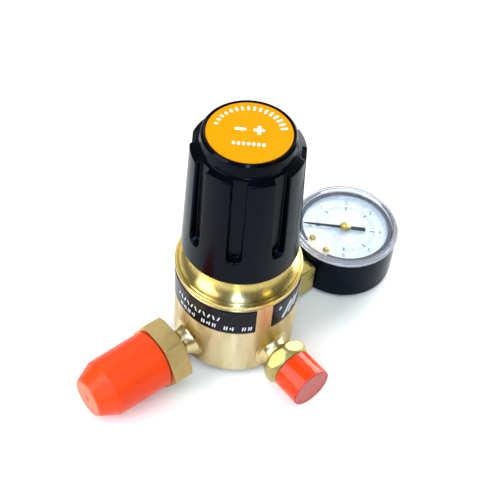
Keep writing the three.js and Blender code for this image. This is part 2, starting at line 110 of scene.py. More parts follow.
def turned(outline, n=128, warp=None):
    """Rings of points round Z. warp(angles, radius, height) gives a ring's own radii."""
    angles = np.arange(n) * 2 * np.pi / n
    rings = []
    for r, z in outline:
        if r < 1e-6:
            rings.append(np.array([[0.0, 0.0, z]]))
            continue
        radii = warp(angles, r, z) if warp else np.full(n, r)
        rings.append(np.stack([radii * np.cos(angles), radii * np.sin(angles),
                               np.full(n, z)], axis=1))
    return rings


def rounded_rectangle(half_x, half_y, corner, n=8):
    """Points round a rectangle with rounded corners, centred on the origin."""
    points = []
    for qx, qy, start in ((1, 1, 0), (-1, 1, 90), (-1, -1, 180), (1, -1, 270)):
        for k in range(n + 1):
            a = math.radians(start + 90 * k / n)
            points.append((qx * (half_x - corner) + corner * math.cos(a),
                           qy * (half_y - corner) + corner * math.sin(a)))
    return np.array(points)


def bar(half_x, half_y, corner, low, high, edge=0.4, steps=4):
    """Rings of a bar along Z with rounded long edges and rounded end edges."""
    rings = [np.array([[0.0, 0.0, low]])]
    arcs = [(edge * (1 - math.sin(a)), edge * (1 - math.cos(a)))
            for a in np.linspace(0, math.pi / 2, steps + 1)]
    for inset, lift in arcs:
        ring = rounded_rectangle(half_x - inset, half_y - inset, max(corner - inset, 0.05))
        rings.append(np.column_stack([ring, np.full(len(ring), low + lift)]))
    for inset, lift in reversed(arcs):
        ring = rounded_rectangle(half_x - inset, half_y - inset, max(corner - inset, 0.05))
        rings.append(np.column_stack([ring, np.full(len(ring), high - lift)]))
    rings.append(np.array([[0.0, 0.0, high]]))
    return rings


def move(rings, matrix):
    """Rings in millimetres, carried by a 4x4 matrix whose shift is in millimetres."""
    m = np.array(matrix)
    return [ring @ m[:3, :3].T + m[:3, 3] for ring in rings]


def along(azimuth):
    """From a piece drawn along +Z to one along a port at that azimuth."""
    return (Matrix.Translation((0, 0, PORT_Z)) @ Matrix.Rotation(math.radians(azimuth), 4, "Z")
            @ Matrix.Rotation(math.pi / 2, 4, "Y"))


INLET, OUTLET, GAUGE_PORT = along(180), along(-90), along(0)
AT_GAUGE = Matrix.Translation((GAUGE_X, 0, 0))


def piece(name, shells, finish, body, nodes=(), loops=False, smooth=True):
    """One object from ring sets. Its faces point outwards and it rides on its CAD body."""
    verts, faces = [], []
    for rings in shells:
        starts = []
        for ring in rings:
            starts.append((len(verts), len(ring)))
            verts.extend(map(tuple, np.asarray(ring) * MM))
        pairs = list(zip(starts[:-1], starts[1:]))
        if loops:
            pairs.append((starts[-1], starts[0]))
        for (sa, na), (sb, nb) in pairs:
            count = max(na, nb)
            for j in range(count):
                k = (j + 1) % count
                if na == 1:
                    faces.append((sa, sb + j, sb + k))
                elif nb == 1:
                    faces.append((sa + j, sb, sa + k))
                else:
                    faces.append((sa + j, sb + j, sb + k, sa + k))
    return from_faces(name, verts, faces, finish, body, nodes, smooth)


def from_faces(name, verts, faces, finish, body, nodes=(), smooth=True):
    """One object from points in metres and faces, tied to its body, CAD nodes and slot."""
    mesh = bpy.data.meshes.new(name)
    mesh.from_pydata(verts, [], faces)
    bm = bmesh.new()
    bm.from_mesh(mesh)
    bmesh.ops.dissolve_degenerate(bm, edges=bm.edges, dist=1e-7)
    bmesh.ops.recalc_face_normals(bm, faces=bm.faces)
    bm.to_mesh(mesh)
    bm.free()
    obj = bpy.data.objects.new(name, mesh)
    bpy.context.scene.collection.objects.link(obj)
    mesh.materials.append(finish)
    if smooth:
        mesh.shade_smooth()
        weighted = obj.modifiers.new("even_normals", "WEIGHTED_NORMAL")
        weighted.weight = 80
    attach(obj, body)
    if nodes:
        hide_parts(*nodes)
    return obj


# --- Finishes -----------------------------------------------------------------------------------


class Finish:
    """A Principled shader fed by textures laid out in the object's own millimetres."""

    def __init__(self, name, **sockets):
        self.material = bpy.data.materials.new(name)
        self.material.use_nodes = True
        self.tree = self.material.node_tree
        self.shader = self.tree.nodes["Principled BSDF"]
        for key, value in sockets.items():
            self.shader.inputs[key.replace("_", " ")].default_value = value
        self.place = self.node("ShaderNodeTexCoord").outputs["Object"]

    def node(self, kind, inputs=None, **settings):
        """A new node. An input is a value, or a socket to link from."""
        n = self.tree.nodes.new(kind)
        for key, value in settings.items():
            setattr(n, key, value)
        for key, value in (inputs or {}).items():
            if isinstance(value, bpy.types.NodeSocket):
                self.tree.links.new(value, n.inputs[key])
            else:
                n.inputs[key].default_value = value
        return n

    def noise(self, size, stretch=(1, 1, 1), detail=3.0, rough=0.55, warp=0.0):
        """Noise with features of about that size in millimetres, finer where stretch is high."""
        scale = [1000 / size * s for s in stretch]
        spot = self.node("ShaderNodeMapping", {"Vector": self.place, "Scale": scale})
        return self.node("ShaderNodeTexNoise", {
            "Vector": spot.outputs[0], "Scale": 1.0, "Detail": detail, "Roughness": rough,
            "Distortion": warp}).outputs[0]

    def level(self, value, low, high, start=0.3, end=0.7):
        """The value, stretched so that start to end becomes low to high."""
        return self.node("ShaderNodeMapRange", {
            "Value": value, "From Min": start, "From Max": end,
            "To Min": low, "To Max": high}).outputs[0]

    def along(self, axis, start, end):
        """0 to 1 from start to end, in millimetres along an axis of the object."""
        split = self.node("ShaderNodeSeparateXYZ", {"Vector": self.place})
        return self.level(split.outputs[axis], 0.0, 1.0, start * MM, end * MM)

    def mix(self, factor, a, b):
        """Colour a where the factor is 0 and b where it is 1."""
        n = self.node("ShaderNodeMix", data_type="RGBA")
        for socket, value in ((n.inputs[0], factor), (n.inputs[6], a), (n.inputs[7], b)):
            if isinstance(value, bpy.types.NodeSocket):
                self.tree.links.new(value, socket)
            else:
                socket.default_value = value if isinstance(value, float) else (*value, 1)
        return n.outputs[2]

    def set(self, socket, value):
        """Feeds a socket of the shader."""
        self.tree.links.new(value, self.shader.inputs[socket])
        return self

    def bump(self, *layers):
        """Layers of (height, depth in millimetres), added one on the other."""
        normal = None
        for height, depth in layers:
            inputs = {"Height": height, "Distance": depth * MM, "Strength": 1.0}
            if normal:
                inputs["Normal"] = normal
            normal = self.node("ShaderNodeBump", inputs).outputs[0]
        return self.set("Normal", normal)


def brass(name, pale, deep, rough, turning=None, grain=0.02, stain=0.5, patch=7.0,
          drawn=(1, 1, 1), turned_on=None):
    """Brass with stains, drawn out along the body if asked, and fine tool lines."""
    f = Finish(name, Metallic=1.0)
    if turned_on:
        f.shader.inputs["Anisotropic"].default_value = 0.95
        f.shader.inputs["Anisotropic Rotation"].default_value = 0.25
        f.set("Tangent", f.node("ShaderNodeTangent", direction_type="RADIAL",
                                axis=turned_on).outputs[0])
    cloud = f.noise(patch, drawn, detail=4, rough=0.55, warp=0.3)
    speck = f.noise(0.7, detail=2)
    stained = f.mix(f.level(cloud, 0.0, stain, 0.42, 0.68), pale, deep)
    f.set("Base Color", f.mix(f.level(speck, 0.0, 0.12), stained, deep))
    f.set("Roughness", f.level(f.noise(patch * 0.6, detail=5), rough[0], rough[1], 0.35, 0.65))
    stretch = {None: (1, 1, 1), "X": (1, 0.04, 0.04), "Y": (0.04, 1, 0.04), "Z": (0.04, 0.04, 1)}
    f.bump((f.noise(0.25, stretch[turning], detail=2), grain),
           (f.noise(2.5, detail=2), grain * 1.5))
    return f.material


def plastic(name, colour, shade, rough, bump_size=0.35, bump=0.01, **sockets):
    """Plastic, paint, ink or rubber: two close tones, uneven gloss and a fine texture."""
    f = Finish(name, **sockets)
    f.set("Base Color", f.mix(f.level(f.noise(3.0, detail=4), 0.0, 1.0), colour, shade))
    f.set("Roughness", f.level(f.noise(2.0, detail=4), rough[0], rough[1]))
    f.bump((f.noise(bump_size, detail=2), bump), (f.noise(4.0, detail=1), bump * 2))
    return f.material


SATIN = brass("satin_brass", (0.80, 0.64, 0.36), (0.53, 0.38, 0.15), (0.30, 0.40), "Z", 0.005, 0.8,
              11.0, (1.2, 1.2, 0.4), "Z")
POLISHED = brass("polished_brass", (0.84, 0.66, 0.23), (0.70, 0.50, 0.13), (0.26, 0.31), "Z",
                 0.0002, 0.5, turned_on="Z")
NUT_BRASS = brass("nut_brass", (0.70, 0.53, 0.22), (0.54, 0.40, 0.15), (0.38, 0.5), None,
                  0.012, 0.6, 5.0)
FITTING_BRASS = brass("fitting_brass", (0.52, 0.45, 0.16), (0.36, 0.29, 0.09), (0.40, 0.50), None,
                      0.01, 0.45, 2.5)
NECK_BRASS = brass("port_brass", (0.95, 0.84, 0.48), (0.72, 0.55, 0.24), (0.12, 0.22), None,
                   0.003, 0.5, 5.0)
BOSS_BRASS = brass("boss_brass", (0.76, 0.62, 0.31), (0.53, 0.39, 0.15), (0.26, 0.36), None,
                   0.002, 0.6, 8.0)
# Painted shade: this brass is darker than the metal is, so that the gauge socket's side face looks shaded;
# the dial screws and needle hub use it too.
SHADE_DARKENED_BRASS = brass("shade_darkened_brass", (0.56, 0.45, 0.13), (0.38, 0.30, 0.08), (0.25, 0.38), None,
                     0.008, 0.6, 4.0)
INNER_BRASS = brass("inner_brass", (0.80, 0.62, 0.30), (0.55, 0.40, 0.16), (0.25, 0.4))
STEEL = brass("plated_steel", (0.62, 0.62, 0.63), (0.38, 0.38, 0.40), (0.25, 0.4))
BRONZE = brass("sintered_bronze", (0.45, 0.30, 0.13), (0.22, 0.14, 0.06), (0.6, 0.9), None,
               0.12, 1.0, 0.8)
KNOB_BLACK = plastic("knob_plastic", (0.0006, 0.0009, 0.0020), (0.0012, 0.0016, 0.0032),
                     (0.20, 0.28), 0.3, 0.0012, Specular_IOR_Level=0.05,
                     Specular_Tint=(0.42, 0.60, 1.0, 1), Coat_Weight=0.08, Coat_Roughness=0.12)
CASE_BLACK = plastic("case_enamel", (0.0015, 0.0030, 0.0075), (0.0030, 0.0045, 0.0100),
                     (0.14, 0.24), 1.2, 0.004, Specular_IOR_Level=0.08,
                     Specular_Tint=(0.30, 0.56, 1.0, 1))
FILM_BLACK = plastic("label_film", (0.004, 0.004, 0.006), (0.008, 0.008, 0.011), (0.18, 0.26),
                     1.5, 0.002, Specular_IOR_Level=0.10)
INK_WHITE = plastic("white_ink", (0.72, 0.73, 0.78), (0.62, 0.63, 0.69), (0.4, 0.55), 0.3, 0.003)
LABEL_ORANGE = plastic("orange_label", (0.85, 0.305, 0.0), (0.80, 0.285, 0.0), (0.4, 0.55), 1.0,
                       0.003, Specular_IOR_Level=0.04)
LABEL_INK = plastic("label_ink", (0.92, 0.92, 0.90), (0.86, 0.86, 0.84), (0.4, 0.5), 0.3, 0.002)
RUBBER = plastic("rubber", (0.012, 0.012, 0.012), (0.022, 0.022, 0.022), (0.6, 0.8), 0.4, 0.02)
RIM_CLEAR = plastic("lens_rim_plastic", (0.93, 0.95, 1.0), (0.80, 0.83, 0.94), (0.02, 0.06),
                    2.5, 0.002, Transmission_Weight=0.80, IOR=1.49)
NEEDLE_BLACK = plastic("needle_enamel", (0.006, 0.012, 0.016), (0.014, 0.020, 0.024), (0.3, 0.4),
                       0.5, 0.003, Specular_IOR_Level=0.2)
# Partly painted shade: the split ring under the lens is near-black so that it also stands in for the
# shadowed gap round the dial's edge.
SNAP_RING_GAP_SHADE = plastic("snap_ring_enamel_and_gap_shade", (0.045, 0.055, 0.085), (0.09, 0.10, 0.14), (0.2, 0.3),
                    2.0, 0.002, Specular_IOR_Level=0.4)
DIAL_INK = plastic("dial_ink", (0.08, 0.13, 0.24), (0.16, 0.23, 0.36), (0.4, 0.6), 0.4, 0.002)
DIAL_PINK = plastic("dial_pink_ink", (0.72, 0.50, 0.66), (0.80, 0.62, 0.76), (0.4, 0.6), 0.4, 0.002)

# The dial is blotchy blue-white, and cream on the side of the gauge's socket.
dial_paint = Finish("dial_enamel")
blotch = dial_paint.level(dial_paint.noise(3.5, detail=4, warp=0.5), 0.0, 0.55, 0.45, 0.65)
dial_paint.set("Base Color", dial_paint.mix(
    dial_paint.along(0, GAUGE_X - 12.5, GAUGE_X - 16.5),
    dial_paint.mix(blotch, (0.80, 0.91, 1.0), (0.56, 0.70, 0.92)), (0.86, 0.81, 0.70)))
dial_paint.set("Roughness", dial_paint.level(dial_paint.noise(2.0), 0.35, 0.5))
dial_paint.bump((dial_paint.noise(0.8, detail=2), 0.002))
DIAL_WHITE = dial_paint.material


def cap_finish(name, axis, side, end_reflection, start, end, rough):
    """Soft vinyl whose end face has its own pinkish colour, a painted reflection of the floor."""
    f = Finish(name, Subsurface_Weight=0.12, Subsurface_Radius=(1.0, 0.35, 0.15),
               Subsurface_Scale=0.002, Specular_IOR_Level=0.22)
    tone = f.mix(f.level(f.noise(6.0, detail=4), 0.0, 0.4), side, [c * 0.9 for c in side])
    # The end face's colour is a painted reflection of the floor.
    f.set("Base Color", f.mix(f.along(axis, start, end), tone, end_reflection))
    f.set("Roughness", f.level(f.noise(3.0, detail=4), rough[0], rough[1]))
    f.bump((f.noise(0.6, detail=3), 0.01), (f.noise(5.0, detail=2), 0.08))
    return f.material


# Each cap's end-face colour is a painted reflection of the floor.
IN_CAP_VINYL = cap_finish("inlet_cap_vinyl", 0, (0.95, 0.062, 0.006), (0.90, 0.15, 0.06),
                          in_cap_lo[0] + 0.9, in_cap_lo[0] + 0.2, (0.30, 0.42))
OUT_CAP_VINYL = cap_finish("outlet_cap_vinyl", 1, (0.95, 0.048, 0.004), (0.52, 0.055, 0.04),
                           out_cap_lo[1] + 0.9, out_cap_lo[1] + 0.35, (0.07, 0.14))

# The window mirrors the studio at grazing angles and is nearly clear when faced squarely.
glass = Finish("lens_glass", Metallic=1.0)
glass.set("Base Color", glass.mix(glass.noise(8.0), (0.97, 0.99, 1.0), (0.93, 0.97, 1.0)))
glass.set("Roughness", glass.level(glass.noise(6.0), 0.01, 0.04))
glass.bump((glass.noise(9.0, detail=1), 0.006))
facing = glass.node("ShaderNodeLayerWeight", {"Blend": 0.5}).outputs["Facing"]
grazing = glass.node("ShaderNodeMath", {0: facing, 1: 5.0}, operation="POWER").outputs[0]
glass.set("Alpha", glass.level(grazing, 0.012, 1.0, 0.0, 1.0))
GLASS = glass.material

# --- Body ---------------------------------------------------------------------------------------


def smooth_step(x):
    """0 below 0, 1 above 1, and smooth between."""
    x = np.clip(x, 0, 1)
    return x * x * (3 - 2 * x)


def soft_max(a, b, k):
    """The larger value, with a rounded change-over of about size k."""
    m = np.maximum(a, b)
    return m + k * np.log(np.exp((a - m) / k) + np.exp((b - m) / k))


def soft_min(a, b, k):
    return -soft_max(-a, -b, k)


FLARE_POWER = 1.6
FLARE_SKIRT = 2.2


def flare(neck, end, flare_size, reach):
    """A port's boss: it spreads from its neck into the body's wall along a rounded flare."""
    spread = neck + flare_size
    radii = [neck + flare_size * (1 - math.cos(a)) for a in np.linspace(0, math.pi / 2, 22)]
    radii += list(np.linspace(spread, spread + FLARE_SKIRT, 6)[1:])
    n = 120
    angles = np.arange(n) * 2 * np.pi / n
    down, side = np.cos(angles), np.sin(angles)
    shoulder = end - 0.8

    def height(rho, across):
        """Heights of the boss and of the body's wall under it, at a radius from the port."""
        wall = np.sqrt(BODY_R ** 2 - across ** 2)
        a = np.clip((spread - rho) / flare_size, 0, 1)
        flared = shoulder - reach * (1 - a ** FLARE_POWER) ** (1 / FLARE_POWER)
        flared = np.where(rho >= spread, shoulder - reach - (rho - spread) * 2, flared)
        return soft_max(wall, flared, 0.25), wall

    rings = [np.stack([r * down, r * side, np.full(n, h)], axis=1)
             for r, h in ((0.4, end), (neck - 0.35, end), (neck - 0.1, end - 0.1),
                          (neck, end - 0.35))]
    rings.insert(0, np.array([[0, 0, end]]))
    for rho in radii:
        x, y = rho * down, rho * side
        h, wall = height(np.full(n, rho), y)
        fade = smooth_step((rho - spread + 0.4) / 1.6)
        h = h * (1 - fade) + (wall - 0.25) * fade
        below = np.maximum(x - PORT_Z, 0)
        rings.append(np.stack([x - below, y, h - below * 0.9], axis=1))
    rings.append(np.array([[0.0, 0.0, BODY_R - 2]]))
    return rings


BOSS_SINKS = ((math.pi, 9.1), (-math.pi / 2, 9.0))  # azimuth and radius


def wall_warp(angles, radius, height):
    """The wall sinks a little behind each boss, so that only the boss shows there."""
    sink = np.zeros_like(angles)
    if radius > BODY_R - 1:
        for azimuth, size in BOSS_SINKS:
            across = (angles - azimuth + math.pi) % (2 * math.pi) - math.pi
            rho = np.hypot(BODY_R * np.sin(across), height - PORT_Z)
            near = np.where(np.abs(across) < 1, (size - rho) / 1.5, 0)
            sink = np.maximum(sink, 0.6 * smooth_step(near))
    return radius - sink


body_outline = rounded([(0, 0.02), (BODY_R, 0.02, 0.7), (BODY_R, body_hi[2], 0.4),
                        (22.6, body_hi[2]), (22.6, 29), (17.5, 29), (17.5, 22), (5.3, 22),
                        (5.3, 2.6), (0, 2.6)])
outside = slice(1, 9)  # only the outside wall needs close rings, for the sinks behind the bosses
body_outline = body_outline[:1] + dense(body_outline[outside], 0.8) + body_outline[9:]
pad = move(bar(8.2, 8.2, 0.8, 18, body_hi[0]), GAUGE_PORT)
pad = [ring + [0, 0, 0.3] for ring in pad]
piece("body_casting", [turned(body_outline, 240, wall_warp), pad], SATIN, "regulator_body",
      ["body"])
inlet_boss = move(flare(6.0, 30.5, 2.4, 4.9), INLET)
outlet_boss = move(flare(5.9, 29.3, 2.4, 3.7), OUTLET)
piece("port_bosses", [inlet_boss, outlet_boss], BOSS_BRASS, "regulator_body", ())

# --- Bonnet -------------------------------------------------------------------------------------
cove = [(24.9 - 4.8 * math.sin(a), 50.4 - 6.3 * math.cos(a))
        for a in np.linspace(0, math.pi / 2, 24)]
rim_edge = rounded([(22.3, 31.5), (22.3, 41.9), (26.4, 41.9, 0.4), (26.4, 43.9, 0.7),
                    (25.5, 43.9, 0.25), (25.25, 43.6, 0.2), (24.98, 44.0, 0.1)])
bonnet = rim_edge + cove + rounded([(20.1, 53), (20.1, 54, 0.3), (18.2, 54.6, 0.3), (18.2, 84, 0.5),
                                    (5.3, 84), (5.3, 74), (14.5, 74), (14.5, 41), (17.8, 38),
                                    (17.8, 31.5)])
piece("bonnet_shell", [turned(bonnet, 192)], POLISHED, "regulator_body", ["bonnet"],
      loops=True)

# --- Knob ---------------------------------------------------------------------------------------
FLUTES, FLUTE_PHASE = 8, math.radians(42.3)
FLUTE_HALF, FLUTE_END = 3.0, 69.3
FLOOR_R, FLOOR_Z, FLOOR_TAPER = 20.4, 66.3, 0.0262  # a groove's floor: its radius at a height, and its slope
EDGE_SHIFT = 0.1925
CRISP, SOFTER = 0.5, 1.1  # width of a groove's edge: along its sides, and more at its lower end
FLUTE_COLUMNS = np.array([-3.6, -3.3, -3.1, -2.95, -2.8, -2.65, -2.5, -2.3, -1.7, -0.9, 0,
                          0.9, 1.7, 2.3, 2.5, 2.65, 2.8, 2.95, 3.1, 3.3, 3.6])
RIB_COLUMNS = np.linspace(0, 1, 16)[1:-1]


def fluted_ring(radius, height):
    """A ring of the knob: its columns keep to the grooves' straight sides."""
    step = 2 * math.pi / FLUTES
    columns = FLUTE_COLUMNS * min(1, radius / 16)
    groove = np.arcsin(columns / radius)
    rib = groove[-1] + (step - 2 * groove[-1]) * RIB_COLUMNS
    off = np.concatenate([groove, rib])
    across = np.concatenate([np.abs(columns), np.full(len(rib), 9.0)])
    below = max(FLUTE_END - height, 0)
    edge = np.hypot(across, below) - FLUTE_HALF
    soft = CRISP + SOFTER * min(below / FLUTE_HALF, 1)
    floor = (FLOOR_R - (height - FLOOR_Z) * FLOOR_TAPER) / np.cos(off)
    wall = smooth_step((EDGE_SHIFT - edge) / soft)
    radii = radius - np.maximum(radius - floor, 0) * wall
    angles = np.concatenate([FLUTE_PHASE + k * step + off for k in range(FLUTES)])
    radii = np.tile(radii, FLUTES)
    return np.column_stack([radii * np.cos(angles), radii * np.sin(angles),
                            np.full(len(angles), height)])


top = knob_hi[2]
skirt = rounded([(22.5, 55.3), (23.9, 55.3, 0.25), (23.85, 56.2, 0.2), (23.35, 66, 40),
                 (21.47, 106.7, 0.8), (18.35, 107.9, 0.5), (17.75, 112.7, 0.5), (17, top, 0.4),
                 (16.4, top, 0.25), (16.2, 112.7)], 6)
PIT_LOW, PIT_HIGH, CROWN_LOW = 65.5, 71, 103
PIT_STEP, CROWN_STEP, WALL_STEP = 0.16, 0.25, 1.2


def wall_step(a, b):
    """Rings on the wall lie close together round the grooves' lower ends."""
    return PIT_STEP if PIT_LOW < (a[1] + b[1]) / 2 < PIT_HIGH else WALL_STEP


bands = []
for a, b in zip(skirt[:-1], skirt[1:]):
    if math.dist(a, b) > 20:
        cuts = [a[1]] + [z for z in (65.8, 70.5, 103.5) if a[1] < z < b[1]] + [b[1]]
        line = [(np.interp(z, [a[1], b[1]], [a[0], b[0]]), z) for z in cuts]
        for c, d in zip(line[:-1], line[1:]):
            bands += dense([c, d], wall_step(c, d))[:-1]
    else:
        step = CROWN_STEP if (a[1] + b[1]) / 2 > CROWN_LOW else wall_step(a, b)
        bands += dense([a, b], step)[:-1]
bands.append(skirt[-1])
cavity = [(5, 112.7), (5, 106), (3.7, 106), (3.7, 93.2), (8, 93.2), (8, 100), (19, 100),
          (19, 64.5), (22.5, 63)]
knob_rings = [fluted_ring(r, z) for r, z in bands + cavity]
piece("knob_shell", [knob_rings], KNOB_BLACK, "knob", ["knob"], loops=True)
DISC_R, DISC_LOW, DISC_TOP = 15.9, 113, 113.4
disc = rounded([(0, DISC_LOW), (DISC_R, DISC_LOW, 0.05), (DISC_R, DISC_TOP, 0.12), (0, DISC_TOP)])
piece("knob_label_disc", [turned(disc, 160)], LABEL_ORANGE, "knob", ["knob_label"])


def flat_marks(name, outlines, low, high, place, finish, body):
    """Thin raised marks from convex outlines in the plane."""
    verts, faces = [], []
    for outline in outlines:
        n, start = len(outline), len(verts)
        for z in (low, high):
            verts += [tuple(np.array(place @ Vector((x, y, z))) * MM) for x, y in outline]
        faces.append([start + k for k in range(n)])
        faces.append([start + n + k for k in range(n)])
        faces += [(start + k, start + (k + 1) % n, start + n + (k + 1) % n, start + n + k)
                  for k in range(n)]
    return from_faces(name, verts, faces, finish, body, smooth=False)


def capsule(x, y, length, width, angle, n=6):
    """A stroke with round ends, centred on (x, y)."""
    points = []
    for side in (1, -1):
        for k in range(n + 1):
            a = math.pi * (k / n - 0.5) + (0 if side > 0 else math.pi)
            points.append((side * (length - width) / 2 + width / 2 * math.cos(a),
                           width / 2 * math.sin(a)))
    c, s = math.cos(angle), math.sin(angle)
    return [(x + px * c - py * s, y + px * s + py * c) for px, py in points]


# Marks stand the right way up for someone at the camera's side.
FACING = math.radians(-42.5)
ARC_R = 12.7
label_marks = []
for k in range(16):
    a = math.radians(166 - 152 * k / 15)
    length = 1.5 + 1.4 * k / 15
    label_marks.append(capsule(ARC_R * math.cos(a), ARC_R * math.sin(a), length, 1.0, a))
minus, plus = (capsule(x, 1.2, 4.4, 1.35, 0) for x in (-3.4, 3.4))
plus_ends = [[(2.75, y), (4.05, y), (4.05, y + 1.5), (2.75, y + 1.5)] for y in (-0.98, 1.88)]
dots = [capsule(-5.4 + 1.8 * k, -6.3, 1.7, 1.15, math.pi / 2) for k in range(7)]
label_marks += [minus, plus] + plus_ends + dots
flat_marks("knob_label_marks", label_marks, DISC_TOP - 0.02, DISC_TOP + 0.1,
           Matrix.Rotation(FACING, 4, "Z"), LABEL_INK, "knob")

# --- Wrap labels --------------------------------------------------------------------------------


def wrap(name, start, end, low, high, node):
    """A film label round the body, with rounded corners and a lifted edge."""
    inner, outer = BODY_R + 0.05, BODY_R + 0.2
    n, m, corner = 90, 16, 0.8
    verts, faces = [], []
    for r in (outer, inner):
        for j in range(m + 1):
            for i in range(n + 1):
                u, v = i / n, j / m
                a0, a1 = math.radians(start), math.radians(end)
                x = (a1 - a0) * BODY_R * u
                z = low + (high - low) * v
                dx = min(x, (a1 - a0) * BODY_R - x)
                dz = min(z - low, high - z)
                if dx < corner and dz < corner:
                    gap = max(0, math.hypot(corner - dx, corner - dz) - corner)
                    z += gap * (0.7 if v < 0.5 else -0.7)
                a = a0 + x / BODY_R
                verts.append((r * math.cos(a) * MM, r * math.sin(a) * MM, z * MM))
    row, layer = n + 1, (n + 1) * (m + 1)
    for t in (0, 1):
        for j in range(m):
            for i in range(n):
                k = t * layer + j * row + i
                faces.append((k, k + 1, k + row + 1, k + row))
    edge = ([i for i in range(n)] + [j * row + n for j in range(m)]
            + [m * row + i for i in range(n, 0, -1)] + [j * row for j in range(m, 0, -1)])
    for a, b in zip(edge, edge[1:] + edge[:1]):
        faces.append((a, b, b + layer, a + layer))
    return from_faces(name, verts, faces, FILM_BLACK, "regulator_body", [node])


def wrap_marks(name, outlines):
    """Ink on a label: convex outlines in (degrees of azimuth, height), as thin raised strips."""
    verts, faces = [], []
    for outline in outlines:
        ends = list(zip(outline, outline[1:] + outline[:1]))
        first, last = min(a for a, _ in outline), max(a for a, _ in outline)
        start, columns = len(verts), 3 + int((last - first) / 0.9)
        for k in range(columns):
            a = first + (last - first) * (0.001 + 0.998 * k / (columns - 1))
            cuts = [p[1] + (q[1] - p[1]) * (a - p[0]) / (q[0] - p[0])
                    for p, q in ends if (p[0] - a) * (q[0] - a) <= 0 and p[0] != q[0]]
            for r in (BODY_R + 0.17, BODY_R + 0.25):
                for z in (min(cuts), max(cuts)):
                    verts.append((r * math.cos(math.radians(a)) * MM,
                                  r * math.sin(math.radians(a)) * MM, z * MM))
        for k in range(columns - 1):
            i = start + 4 * k
            faces += [(i, i + 1, i + 5, i + 4), (i + 2, i + 3, i + 7, i + 6),
                      (i, i + 2, i + 6, i + 4), (i + 1, i + 3, i + 7, i + 5)]
        i = start + 4 * (columns - 1)
        faces += [(start, start + 1, start + 3, start + 2), (i, i + 1, i + 3, i + 2)]
    return from_faces(name, verts, faces, INK_WHITE, "regulator_body", smooth=False)


def on_wall(outline, azimuth, z):
    """An outline in millimetres, laid on the wall at an azimuth and a height."""
    return [(azimuth + math.degrees(x / BODY_R), z + y) for x, y in outline]


FILM_LOW, FILM_HIGH = 26.6, 40.9
wrap("wrap_label_left", 150.2, 247.6, FILM_LOW, FILM_HIGH, "body_label_left")
wrap("wrap_label_right", 263.2, 324.8, FILM_LOW, FILM_HIGH, "body_label_right")

# The left label has a row of upright strokes in groups and a row of slanted ones.
left_marks = []
for k, tall in enumerate((1, 1, 0, 2, 1, 0, 1, 2, 1, 0, 2, 1, 2, 1)):
    for part in range(2 if tall else 0):
        left_marks.append(on_wall(capsule(0.95 * part, 0, 2.5 if tall == 1 or part else 1.5, 0.72,
                                          math.radians(88)), 241.5 - k * 5.4, 29.8))
for k in range(11):
    tilt = math.radians(70 + 35 * (k % 2))
    left_marks.append(on_wall(capsule(0, 0, 2.7, 0.65, tilt), 214 - k * 4.6, 34.6))
wrap_marks("wrap_label_left_marks", left_marks)

# The right label has three slanted bars, a dot and two upright bars.
right_marks = [on_wall(capsule(0, 0, 9.6 - 1.2 * k, 1.7 - 0.2 * k, math.radians(58)), 281 + 7 * k,
                       32.6 + 0.5 * k) for k in range(3)]
right_marks += [on_wall(capsule(0, 0, 2.2, 1.3, math.radians(58)), 271.5, 36.5),
                on_wall(capsule(0, 0, 5, 1.0, math.radians(90)), 308, 34),
                on_wall(capsule(0, 0, 7, 1.0, math.radians(90)), 313, 34)]
wrap_marks("wrap_label_right_marks", right_marks)

# --- Inlet --------------------------------------------------------------------------------------


def hexagon(flats, corner, k=0.07):
    """Clips a ring to six flats, with one corner at the given angle."""
    def warp(angles, radius, height):
        off = (angles - math.radians(corner) + math.pi / 3) % (math.pi / 3) - math.pi / 6
        flat = flats / 2 / np.cos(off)
        other = flats / 2 / np.cos(math.pi / 3 - np.abs(off))
        return soft_min(np.full_like(angles, radius), soft_min(flat, other, k), k)
    return warp


def threaded(start, end, pitch, hand):
    """A warp that cuts a thread between two heights. hand is -1 for a left-hand thread."""
    depth = 0.6 * pitch

    def warp(angles, ring_radius, height):
        if not start <= height <= end:
            return np.full_like(angles, ring_radius)
        turn = (height / pitch - hand * angles / (2 * math.pi)) % 1
        tooth = np.clip(np.abs(turn * 2 - 1) * 1.25 - 0.12, 0, 1)
        fade = smooth_step(np.array(min(height - start, end - height) / pitch * 1.2))
        return ring_radius - depth * tooth * fade
    return warp


def clip_then_thread(clip, thread, split):
    """One warp below the height split and the other above it."""
    return lambda a, r, h: clip(a, r, h) if h < split else thread(a, r, h)


stem = rounded([(0, 19.5), (4.6, 19.5), (4.6, 30.8), (5.3, 30.8, 0.15), (5.3, 38.8, 0.3),
                (9.2, 38.8, 0.3), (9.2, 53, 0.6), (8.2, 55.6, 0.3), (7, 55.6, 0.2), (7, 58, 0.2),
                (7.9, 58, 0.2), (7.4, 60.5, 0.8), (5.6, 63.6, 0.5), (3.8, 63.6, 0.3), (3.8, 57.5),
                (2.4, 57.5), (2.4, 18.5), (0, 18.5)])
piece("inlet_stem_nose", [move(turned(stem, 120), INLET)], NECK_BRASS, "regulator_body",
      ["inlet_stem"])
piece("nose_seal", [move(turned([(8.1 + 0.8 * math.cos(a), 56.8 + 0.8 * math.sin(a))
                                 for a in np.linspace(0, 2 * math.pi, 17)[:-1]], 96), INLET)],
      RUBBER, "regulator_body", ["nose_seal_ring"], loops=True)

